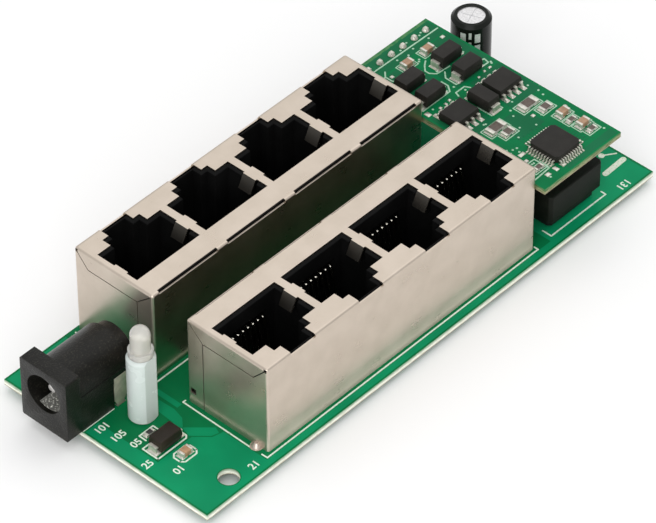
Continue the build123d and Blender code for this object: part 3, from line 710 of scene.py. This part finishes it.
def pads_and_fillets(boxes, ground, spread, share, climb):
    """Pads that spread past each box, and fillets that cover a share of the spread."""
    pads, fillets = bmesh.new(), bmesh.new()
    spread = Vector((*spread, 0.0)) * MM
    for low, high in boxes:
        near, far = (low - spread).xy, (high + spread).xy
        add_block(pads, (*near, ground), (*far, ground + PAD_THICKNESS))
        add_fillet(fillets, low - spread * share, high + spread * share, ground, climb * MM)
    soften(fillets, FILLET_EDGE)
    return pads, fillets


def chip_ends(node):
    """Boxes of the two plated ends of each chip in a solid."""
    for low, high in separate_boxes(node):
        end = (high.x - low.x) * END_SHARE * 1.4
        yield Vector(low), Vector((low.x + end, high.y, low.z))
        yield Vector((high.x - end, low.y, low.z)), Vector((high.x, high.y, low.z))


for name, node, ground, margin, climb in (
    ("rectifier", "rectifier_leads", converter_top, 0.22, 0.5),
    ("catch_diode", "catch_diode_leads", converter_top, 0.22, 0.5),
    ("switch_transistor", "switch_transistor_leads", converter_top, 0.16, 0.3),
    ("controller", "controller_leads", converter_top, 0.02, 0.12),
    ("surge_diode", "surge_diode_leads", board_top, 0.25, 0.5),
    ("choke", "choke_terminals", board_top, 0.5, 0.3),
):
    boxes = separate_boxes(node)
    pads, fillets = pads_and_fillets(boxes, ground, (margin, margin), 0.8, climb)
    for piece in (
        finished(pads, name + "_pads", solder_finish),
        finished(fillets, name + "_solder", solder_finish, 60.0),
    ):
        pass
    print(len(boxes), "pads under", node)

converter_chips = ["converter_capacitors"] + [size + "_resistors" for size in resistor_sizes]
for name, nodes, ground in (
    ("converter_chip", converter_chips, converter_top),
    ("main_chip", ["input_capacitor", "indicator_resistor"], board_top),
):
    ends = [end for node in nodes for end in chip_ends(node)]
    pads, fillets = pads_and_fillets(ends, ground, CHIP_SPREAD, 1.0, CHIP_CLIMB)
    finished(pads, name + "_pads", solder_finish)
    finished(fillets, name + "_solder", solder_finish, 60.0)
    print(len(ends), "pads under chip ends of", name)

# %% [markdown]
# ## Soldered leads
# A lead that passes through a board ends in a cone of solder on the far side. The ports
# alone have 64 contact tails, so each cone keeps few faces. The header's pins are soldered
# on top of the converter board as well, where they show as a row of bright dots.


# %% Cones of solder
def add_cone(mesh, x, y, face, direction, radius, height, sides):
    """Cone of solder on a board face, pointing up (1) or down (-1)."""
    made = add_disc(mesh, (0.0, 0.0, 0.0), radius, height, radius * 0.38, sides)
    if direction < 0:
        turn = Matrix.Rotation(math.pi, 4, "X")
        bmesh.ops.transform(mesh, matrix=turn, verts=made)
    bmesh.ops.translate(mesh, vec=Vector((x, y, face)), verts=made)


plain_leads = ["indicator_leads", "header_pins", "smoothing_capacitor_leads"]
tails = ["front_port_contacts", "rear_port_contacts"]
socket_metal = ("rear_terminal", "side_terminal", "sleeve_spring")
terminals = ["power_socket_" + metal for metal in socket_metal]
for name, nodes, radius, height, sides in (
    ("lead_solder_below", plain_leads, 0.75, 0.7, 16),
    ("contact_solder_below", tails, 0.46, 0.55, 8),
    ("terminal_solder_below", terminals, 1.5, 0.9, 24),
):
    mesh = bmesh.new()
    ends = [end for node in nodes for end in ends_below(node)]
    for end in ends:
        add_cone(mesh, end.x, end.y, board_low[2], -1, radius * MM, height * MM, sides)
    finished(mesh, name, solder_finish, 60.0)
    print(len(ends), "ends in", name)

header_dots = bmesh.new()
for low, high in separate_boxes("header_pins"):
    x, y = (low.x + high.x) / 2, (low.y + high.y) / 2
    add_cone(header_dots, x, y, converter_top, 1, radius=0.66 * MM, height=0.74 * MM, sides=20)
soften(header_dots, 0.2 * MM, 4)
finished(header_dots, "header_solder_above", solder_finish, 60.0)

# %% [markdown]
# ## Copper
# Wide areas of copper under the lacquer look lighter than the bare laminate, with thin
# dark gaps between them. Each area is a flat outline raised by the thickness of the
# copper, from a few corner points in millimetres. The largest leaves a round gap at the
# mounting hole. Between the rows the board is bare of copper and painted darker still,
# as painted shade for the deep gap between the shields.

# %% Copper areas of the main board
COPPER = 0.008 * MM


def add_area(mesh, corners, ground):
    """Flat area with the given corners, raised by the thickness of the copper."""
    made = [mesh.verts.new(place(x, y, ground)) for x, y in corners]
    face = mesh.faces.new(made)
    if face.normal_update() or face.normal.z < 0:
        face.normal_flip()
    raised = bmesh.ops.extrude_face_region(mesh, geom=[face])["geom"]
    top = [v for v in raised if isinstance(v, bmesh.types.BMVert)]
    bmesh.ops.translate(mesh, vec=(0.0, 0.0, COPPER), verts=top)


rim = 0.3
far_x = (board_high[0] - board_low[0]) / MM - rim
hole_x, hole_y, hole_clear, hole_steps, cut = 7.4, 2.9, 1.75, 24, 0.01
around_hole = tuple(
    (hole_x - hole_clear * math.sin(turn), hole_y - hole_clear * math.cos(turn))
    for turn in (math.tau * step / hole_steps for step in range(hole_steps + 1))
)
main_areas = (
    ((rim, rim), (hole_x - cut, rim)) + around_hole
    + ((hole_x + cut, rim), (far_x, rim), (far_x, 1.3), (13.4, 1.3), (13.3, 9.5),
       (11.5, 9.95), (9.55, 12.1), (2.8, 12.1), (2.8, 23.7), (rim, 23.7)),
    ((11.7, 23.0), (11.9, 17.7), (11.4, 15.7), (9.8, 14.0), (9.0, 14.9), (9.9, 16.1),
     (10.1, 19.6), (10.1, 23.0)),
    ((10.0, 14.4), (13.2, 10.9), (12.75, 9.85), (11.6, 10.2), (9.5, 12.5)),
    ((12.4, 17.6), (13.3, 17.6), (13.3, 23.8), (12.4, 23.8)),
    ((rim, 33.6), (12.0, 33.6), (12.0, 39.3), (rim, 39.3)),
    ((74.0, 1.3), (95.4, 1.3), (95.4, 39.3), (74.0, 39.3)),
)
copper_areas = bmesh.new()
for corners in main_areas:
    add_area(copper_areas, corners, board_top)
finished(copper_areas, "main_copper_areas", copper_mask)

# Painted shade: the board between the rows is drawn darker, for the shade in the gap between the
# shields.
gap_shade_area = bmesh.new()
add_area(gap_shade_area, ((21.0, 18.3), (71.0, 18.3), (71.0, 23.1), (21.0, 23.1)), board_top)
finished(gap_shade_area, "painted_shade_between_rows", gap_shade_mask)
print(len(main_areas), "areas of copper on the main board")

# %% [markdown]
# ## Ink on the main board
# White ink frames each part: a line round the front row of ports, a line beside the
# socket, and small outlines with cut corners round the surge diode, the capacitor and the
# resistor. Beside some of them stands a plain number.

# %% Ink lines of the main board
INK_LINE = 0.25 * MM
INK_THICKNESS = 0.03 * MM


def ink_path(mesh, points, ground, width=INK_LINE):
    """Ink line through places in millimetres, on top of the copper."""
    path = [place(x, y, ground + COPPER) for x, y in points]
    add_line(mesh, path, width, INK_THICKNESS - COPPER / 2)


main_ink = bmesh.new()
main_lines = (
    ((14.2, 17.75), (13.75, 17.75), (13.62, 4.5)),
    ((13.7, 2.5), (13.72, 1.5), (71.4, 1.5), (71.4, 2.2)),
    ((0.2, 24.04), (6.2, 24.04)),
    ((3.25, 12.5), (3.25, 15.5), (5.3, 15.5)),
    ((3.25, 12.5), (8.9, 12.5), (9.3, 12.9), (9.3, 14.6)),
    ((4.95, 9.9), (4.95, 11.1), (5.5, 11.6), (7.7, 11.6), (8.25, 11.1), (8.25, 9.9)),
    ((4.95, 9.9), (5.5, 9.35), (7.7, 9.35), (8.25, 9.9)),
    ((4.75, 16.3), (4.75, 17.6), (7.5, 17.6), (7.5, 16.6)),
    ((74.9, 3.6), (74.9, 1.95), (87.2, 1.95), (87.2, 2.8)),
    ((13.6, 38.9), (13.6, 23.3), (71.3, 23.3)),
)
for points in main_lines:
    ink_path(main_ink, points, board_top)
finished(main_ink, "main_board_ink", white_ink)
print(len(main_lines), "ink lines on the main board")


# %% Plain numbers
NUMBER_HEIGHT, STROKE = 1.7 * MM, 0.03 * MM


def number(text, name, x, y, turn=0.0):
    """Plain number as flat ink, turned by an angle in degrees about its first corner."""
    curve = bpy.data.curves.new(name, "FONT")
    curve.body = text
    curve.size = NUMBER_HEIGHT
    curve.extrude = INK_THICKNESS / 2
    curve.offset = STROKE
    helper = bpy.data.objects.new(name + "_text", curve)
    bpy.context.scene.collection.objects.link(helper)
    bpy.context.view_layer.update()
    graph = bpy.context.evaluated_depsgraph_get()
    data = bpy.data.meshes.new_from_object(helper.evaluated_get(graph))
    bpy.data.objects.remove(helper)
    data.name = name
    data.materials.clear()
    data.materials.append(white_ink)
    where = place(x, y, board_top + COPPER + INK_THICKNESS / 2)
    data.transform(Matrix.Translation(where) @ Matrix.Rotation(math.radians(turn), 4, "Z"))
    piece = bpy.data.objects.new(name, data)
    bpy.context.scene.collection.objects.link(piece)
    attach(piece, "root")


numbers = (
    ("101", "socket_number", 1.1, 22.0),
    ("105", "light_number", 1.5, 19.2),
    ("05", "resistor_number", 2.6, 16.4),
    ("25", "diode_number", 0.7, 12.3),
    ("01", "capacitor_number", 2.9, 8.4),
    ("21", "port_number", 10.6, 1.35),
    ("11", "rear_port_number", 11.4, 37.6),
    ("131", "choke_number", 91.9, 1.9, 180.0),
)
for row in numbers:
    number(*row)
print(len(numbers), "plain numbers")

# %% [markdown]
# ## Ground pins and bare pads
# A pin at each end of a shield passes through a round pad. Solder climbs the pin, and a
# bright ring of it shows beside the shield. At the far end of the board are a bare tinned
# strip with round ends and a small mark.

# %% Ground pin pads and the tinned strip
ground_pads = bmesh.new()
PIN_IN, PIN_OUT = 2.1 * MM, 0.15 * MM
for row in ("front", "rear"):
    low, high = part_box(row + "_port_shield")
    y = low[1] + PIN_IN if row == "front" else high[1] - PIN_IN
    for x in (low[0] - PIN_OUT, high[0] + PIN_OUT):
        add_disc(ground_pads, (x, y, board_top), 1.0 * MM, 0.06 * MM, sides=24)
        add_cone(ground_pads, x, y, board_top, 1, radius=0.85 * MM, height=0.75 * MM, sides=20)
        add_cone(ground_pads, x, y, board_low[2], -1, radius=1.1 * MM, height=0.7 * MM, sides=20)
soften(ground_pads, 0.06 * MM, 3)
finished(ground_pads, "ground_pin_solder", stained_solder, 60.0)

far_strip = bmesh.new()
add_line(far_strip, [place(90.6, 4.85), place(94.9, 5.0)], 0.95 * MM, 0.05 * MM)
add_disc(far_strip, place(93.3, 7.9), 0.5 * MM, 0.05 * MM)
add_line(far_strip, [place(93.3, 7.9), place(95.2, 6.6)], 0.25 * MM, 0.045 * MM)
finished(far_strip, "far_end_strip", tinned_strip)

# %% [markdown]
# ## Print on the converter board
# The converter board is crowded: outlines with cut corners round the diodes, frames round
# the chips, a line along the header, bare pads, copper areas, thin tracks that fan out of
# the controller, and sixty tiny plated holes.

# %% Ink on the converter board
converter_ink = bmesh.new()
converter_lines = (
    ((72.3, 36.45), (88.2, 36.2)),
    ((81.34, 32.47), (80.5, 31.9), (79.6, 31.0), (79.6, 30.2), (80.3, 29.3), (82.9, 29.07)),
    ((81.4, 28.7), (80.45, 27.7), (80.43, 25.6), (87.4, 25.4), (87.6, 26.4)),
    ((72.6, 25.2), (78.6, 25.25), (79.4, 26.3), (79.4, 27.6)),
    ((72.6, 32.2), (78.6, 32.2), (79.2, 31.4)),
    ((78.66, 19.9), (78.7, 17.15), (81.1, 17.15), (81.1, 19.2)),
    ((78.7, 23.6), (79.0, 24.4), (80.9, 24.4), (81.3, 23.6)),
    ((72.1, 6.4), (75.6, 6.3), (75.7, 3.5), (72.2, 3.3)),
    ((75.4, 35.2), (74.6, 34.4), (74.6, 33.0), (75.2, 32.4)),
)
CONVERTER_LINE = 0.24 * MM
for points in converter_lines:
    ink_path(converter_ink, points, converter_top, CONVERTER_LINE)


FRAME_GAP, FRAME_LINE = Vector((0.48, 0.3)) * MM, 0.18 * MM


def frame_round(mesh, low, high):
    """Closed ink frame round a chip, a little outside its box."""
    (left, near), (right, far) = low.xy - FRAME_GAP, high.xy + FRAME_GAP
    corners = ((left, near), (right, near), (right, far), (left, far))
    path = [Vector((x, y, converter_top + COPPER)) for x, y in corners]
    add_line(mesh, path, FRAME_LINE, INK_THICKNESS / 2, closed=True)


for node in converter_chips:
    for low, high in separate_boxes(node):
        frame_round(converter_ink, low, high)
finished(converter_ink, "converter_ink", thin_ink)
print(len(converter_lines), "ink lines on the converter board")

# %% Bare pads of the converter board
bare_pads = bmesh.new()
# Middle of each pad, then its length and width.
pad_places = (
    (75.2, 8.3, 1.3, 0.8), (74.6, 6.9, 0.7, 0.7), (77.6, 2.5, 0.8, 0.8), (76.2, 2.7, 0.8, 1.1),
    (74.5, 2.7, 1.0, 0.8), (77.1, 24.0, 0.6, 0.6), (76.1, 23.8, 0.5, 0.7),
    (74.9, 23.8, 0.6, 0.6), (82.8, 12.7, 0.7, 0.7), (83.0, 14.1, 0.5, 0.5),
    (75.3, 33.7, 0.7, 0.7), (86.7, 24.5, 0.7, 0.5), (85.5, 24.5, 0.5, 0.5),
    (83.9, 24.2, 0.5, 0.5), (87.2, 34.3, 0.8, 0.7), (72.6, 24.2, 0.9, 1.1),
    (73.6, 17.0, 0.5, 0.5), (87.4, 18.9, 0.5, 0.5), (87.6, 10.6, 0.6, 0.6),
)
for x, y, size_x, size_y in pad_places:
    half = Vector((size_x, size_y, 0.0)) * MM / 2
    centre = place(x, y, converter_top)
    add_fillet(bare_pads, centre - half, centre + half, converter_top, height=0.16 * MM)
soften(bare_pads, 0.08 * MM, 3)
finished(bare_pads, "converter_bare_pads", solder_finish, 60.0)
print(len(pad_places), "bare pads")

# %% Copper, tracks and plated holes of the converter board
converter_copper = bmesh.new()
converter_areas = (
    ((72.2, 34.9), (88.3, 34.9), (88.3, 38.4), (72.2, 38.4)),
    ((80.0, 24.9), (88.3, 24.9), (88.3, 34.5), (84.2, 34.5), (84.2, 29.0), (80.0, 29.0)),
    ((72.1, 26.0), (79.2, 26.0), (79.2, 34.4), (72.1, 34.4)),
    ((82.0, 15.9), (88.3, 15.9), (88.3, 24.3), (82.0, 24.3)),
    ((72.1, 15.7), (78.2, 15.7), (78.2, 23.2), (72.1, 23.2)),
    ((77.4, 10.6), (83.0, 10.6), (83.0, 13.0), (80.9, 15.4), (77.4, 15.4)),
    ((77.6, 1.2), (88.3, 1.2), (88.3, 2.6), (77.6, 2.6)),
)
for corners in converter_areas:
    add_area(converter_copper, corners, converter_top)

TRACK_CLEAR, TRACK_WIDTH, TRACK_BEND = 0.5 * MM, 0.16 * MM, 0.5 * MM
controller_low, controller_high = map(Vector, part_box("controller_case"))
controller_middle = (controller_low + controller_high) / 2
for index, (low, high) in enumerate(separate_boxes("controller_leads")):
    foot = (low + high) / 2
    foot.z = converter_top
    out = foot - controller_middle
    way = Vector((math.copysign(1.0, out.x), 0.0, 0.0))
    if abs(out.y) > abs(out.x):
        way = Vector((0.0, math.copysign(1.0, out.y), 0.0))
    reach = (1.0 + 0.35 * (index % 4)) * MM
    bend = Vector((math.copysign(1.0, out.x), math.copysign(1.0, out.y), 0.0)) * TRACK_BEND
    knee = foot + way * reach
    path = [foot, knee, knee + bend]
    if all(converter_low[1] + TRACK_CLEAR < point.y for point in path):
        add_line(converter_copper, path, TRACK_WIDTH, 1.5 * COPPER)
finished(converter_copper, "converter_copper", thin_copper_mask)

vias = bmesh.new()
scatter = random.Random(7)
taken = []
cases = ["rectifier_cases", "catch_diode_case", "switch_transistor_cases", "controller_case"]
for node in cases + converter_chips + ["controller_leads", "header_pins"]:
    taken += separate_boxes(node)
VIA_COUNT, VIA_SIDES, clear = 60, 8, 0.45 * MM
VIA_X, VIA_Y = (72.3, 88.1), (1.6, 37.6)
while len(vias.verts) < VIA_COUNT * 2 * VIA_SIDES:
    spot = place(scatter.uniform(*VIA_X), scatter.uniform(*VIA_Y), converter_top)
    free = all(
        not (low.x - clear < spot.x < high.x + clear and low.y - clear < spot.y < high.y + clear)
        for low, high in taken
    )
    if free:
        add_disc(vias, spot, 0.2 * MM, 0.04 * MM, top_radius=0.12 * MM, sides=VIA_SIDES)
finished(vias, "converter_plated_holes", thin_ink)
print("converter board printed")

# %% [markdown]
# ## Marks on the capacitor
# The sleeve of the capacitor carries pale printed bars on the side towards the ports. Each
# is swept round the sleeve's axis, so it follows the round face exactly. The top of the can
# is scored with a cross, so that it opens there if the pressure rises.

# %% Bars on the sleeve and the cross on the can
sleeve_low, sleeve_high = map(Vector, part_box("smoothing_capacitor_sleeve"))
can_axis = (sleeve_low + sleeve_high) / 2
sleeve_radius = (sleeve_high.x - sleeve_low.x) / 2


def add_arc(mesh, corners, centre, axis, sweep, steps=10):
    """Curved bar: a section with the given corners, swept round an axis by an angle."""
    face = mesh.faces.new([mesh.verts.new(corner) for corner in corners])
    section = [face, *face.edges, *face.verts]
    bmesh.ops.spin(mesh, geom=section, cent=centre, axis=axis, angle=sweep, steps=steps)


BAR_SKIN = 0.02 * MM
# Start and end angle in degrees, then how far below the rim each bar begins and ends.
bar_rows = (
    (190, 206, 1.3, 4.6), (214, 222, 1.1, 2.3), (214, 222, 2.9, 4.6), (231, 247, 1.4, 3.0),
    (231, 247, 3.5, 4.6),
)
bars = bmesh.new()
for start, end, upper, lower in bar_rows:
    start, end = math.radians(start), math.radians(end)
    corners = []
    for skin, down in ((-1, lower), (1, lower), (1, upper), (-1, upper)):
        reach = sleeve_radius + skin * BAR_SKIN
        height = sleeve_high.z - down * MM - can_axis.z
        way = Vector((math.cos(start) * reach, math.sin(start) * reach, height))
        corners.append(can_axis + way)
    add_arc(bars, corners, can_axis, (0.0, 0.0, 1.0), end - start)
bmesh.ops.recalc_face_normals(bars, faces=bars.faces)
finished(bars, "sleeve_bars", sleeve_ink, 40.0)

can_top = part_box("smoothing_capacitor_can")[1][2]
score = bmesh.new()
half, centre = Vector((1.7, 0.05, 0.012)) * MM, Vector((*can_axis.xy, can_top))
for turn in (math.radians(20.0), math.radians(110.0)):
    add_block(score, centre - half, centre + half, turn)
finished(score, "can_score", scored_metal)

# %% [markdown]
# ## Inside the socket and the light
# Two things show dimly inside other pieces. A curved sheet lines the lower half of the
# socket's bore. In the lens stand the two posts of the lead frame, and one of them ends in
# the small cup that holds the crystal.

# %% Bore lining and lead frame
pin_low, pin_high = map(Vector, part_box("power_socket_pin"))
bore_axis = (pin_low + pin_high) / 2
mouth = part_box("power_socket_body")[0][0]
BORE_RADIUS, POST_HALF = 3.2 * MM, 0.28 * MM
lining_start, lining_sweep = math.radians(-172.0), math.radians(112.0)
section = []
for depth, gap in ((0.7, 0.02), (0.7, 0.14), (7.0, 0.14), (7.0, 0.02)):
    reach = BORE_RADIUS - gap * MM
    way = Vector((0.0, math.cos(lining_start) * reach, math.sin(lining_start) * reach))
    section.append(Vector((mouth + depth * MM, bore_axis.y, bore_axis.z)) + way)
lining = bmesh.new()
add_arc(lining, section, bore_axis, (1.0, 0.0, 0.0), lining_sweep, 16)
bmesh.ops.recalc_face_normals(lining, faces=lining.faces)
finished(lining, "bore_lining", lining_finish, 40.0)

lens_low, lens_high = map(Vector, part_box("indicator_lens"))
light_axis = (lens_low + lens_high) / 2
posts = bmesh.new()
for (low, high), share in zip(separate_boxes("indicator_leads"), (0.62, 0.55)):
    x, y = ((low + high) / 2).xy.lerp(light_axis.xy, 0.55)
    top = lens_low.z + share * (lens_high.z - lens_low.z)
    near = (x - POST_HALF, y - POST_HALF, lens_low.z + POST_HALF)
    add_block(posts, near, (x + POST_HALF, y + POST_HALF, top))
    if share > 0.6:
        add_disc(posts, (x, y, top), 0.3 * MM, 0.35 * MM, 0.55 * MM)
finished(posts, "lead_frame", lead_finish)
print("lining and lead frame")

# %% [markdown]
# ## The slits at the fold
# Each shield is slit along its fold, one slit for every port, so that the sheet bends
# easily there. Through a slit one sees a shaded gap and the black plastic of the housing.
# A thin black rib in each slit paints that shade, and stands for the plastic.

# %% Ribs in the slits
SLIT_LENGTH, SLIT_INSET, SLIT_HEIGHT = 11.9 * MM, 0.5 * MM, 0.42 * MM
RIB = 0.1 * MM
for row, side in (("front", 1), ("rear", -1)):
    low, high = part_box(row + "_port_housing")
    shield_low, shield_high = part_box(row + "_port_shield")
    outer = shield_high[1] if side > 0 else shield_low[1]
    ribs = bmesh.new()
    for port in range(PORTS):
        x = (low[0] + high[0]) / 2 + (port - (PORTS - 1) / 2) * PORT_PITCH
        near, far = sorted(outer - side * (SLIT_INSET + past) for past in (RIB / 4, -RIB))
        start = (x - SLIT_LENGTH / 2, near, shield_high[2] - SLIT_HEIGHT)
        # Painted shade: a black rib fills each slit.
        add_block(ribs, start, (x + SLIT_LENGTH / 2, far, shield_high[2] - RIB / 4))
    finished(ribs, row + "_slit_shade_ribs", housing_finish)
print("ribs in the slits")

# %% [markdown]
# ## The floor, the light and the camera
# The floor is a plain pale sheet. A large soft light overhead and a pale sky give the tin
# its even sheen, and a second light fills the front. The camera stands far off with a long
# lens, so the lines of the board stay almost parallel.

# %% Floor and light
FLOOR_HALF, SKY_STRENGTH = 1.5, 0.74
floor_mesh = bmesh.new()
bmesh.ops.create_grid(floor_mesh, x_segments=1, y_segments=1, size=FLOOR_HALF)
bmesh.ops.translate(floor_mesh, vec=(0.04, 0.02, cad_box[0][2]), verts=floor_mesh.verts)
floor_data = bpy.data.meshes.new("floor")
floor_mesh.to_mesh(floor_data)
floor_mesh.free()
floor = bpy.data.objects.new("floor", floor_data)
bpy.context.scene.collection.objects.link(floor)
floor_data.materials.append(Finish("pale_floor", (0.92, 0.92, 0.92), 0.9).material)
floor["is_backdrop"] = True

world = bpy.data.worlds.new("studio")
world.use_nodes = True
sky = world.node_tree.nodes["Background"].inputs
sky["Color"].default_value = tint(1.0, 1.0, 1.0)
sky["Strength"].default_value = SKY_STRENGTH
bpy.context.scene.world = world
bpy.context.scene.view_settings.view_transform = "Standard"


def soft_light(name, away, size, power):
    """Square light of a size in metres and a power in watts, away from the board."""
    data = bpy.data.lights.new(name, "AREA")
    data.shape = "RECTANGLE"
    data.size = data.size_y = size
    data.energy = power
    light = bpy.data.objects.new(name, data)
    light.location = lit_point + Vector(away)
    way = lit_point - light.location
    light.rotation_euler = way.to_track_quat("-Z", "Y").to_euler()
    bpy.context.scene.collection.objects.link(light)


lit_point = Vector((0.04, 0.018, 0.01))
soft_light("overhead", (0.25, 0.05, 0.97), size=1.3, power=3.15)
soft_light("front_fill", (-0.75, -0.45, 0.55), size=0.8, power=5.0)

# %% Camera
image_width, focal_pixels = 656, 4715.0
look_heading, look_down, roll = 42.643, 42.998, -0.147
distance = 0.6743
aim = Vector((0.03596, 0.01435, 0.008))

camera_data = bpy.data.cameras.new("camera")
camera_data.sensor_fit = "HORIZONTAL"
camera_data.sensor_width = 36.0
camera_data.lens = camera_data.sensor_width * focal_pixels / image_width
camera_data.clip_start = 0.01
camera = bpy.data.objects.new("camera", camera_data)
turn = (
    Matrix.Rotation(math.radians(look_heading - 90.0), 4, "Z")
    @ Matrix.Rotation(math.radians(90.0 - look_down), 4, "X")
    @ Matrix.Rotation(math.radians(roll), 4, "Z")
)
back = turn @ Vector((0.0, 0.0, distance))
camera.matrix_world = Matrix.Translation(aim + back) @ turn
bpy.context.scene.collection.objects.link(camera)
bpy.context.scene.camera = camera
print("camera", tuple(round(v, 4) for v in camera.matrix_world.translation))

# %% The boxes, and the end
visual_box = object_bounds()
boxes = {"cad": cad_box, "visual": visual_box}
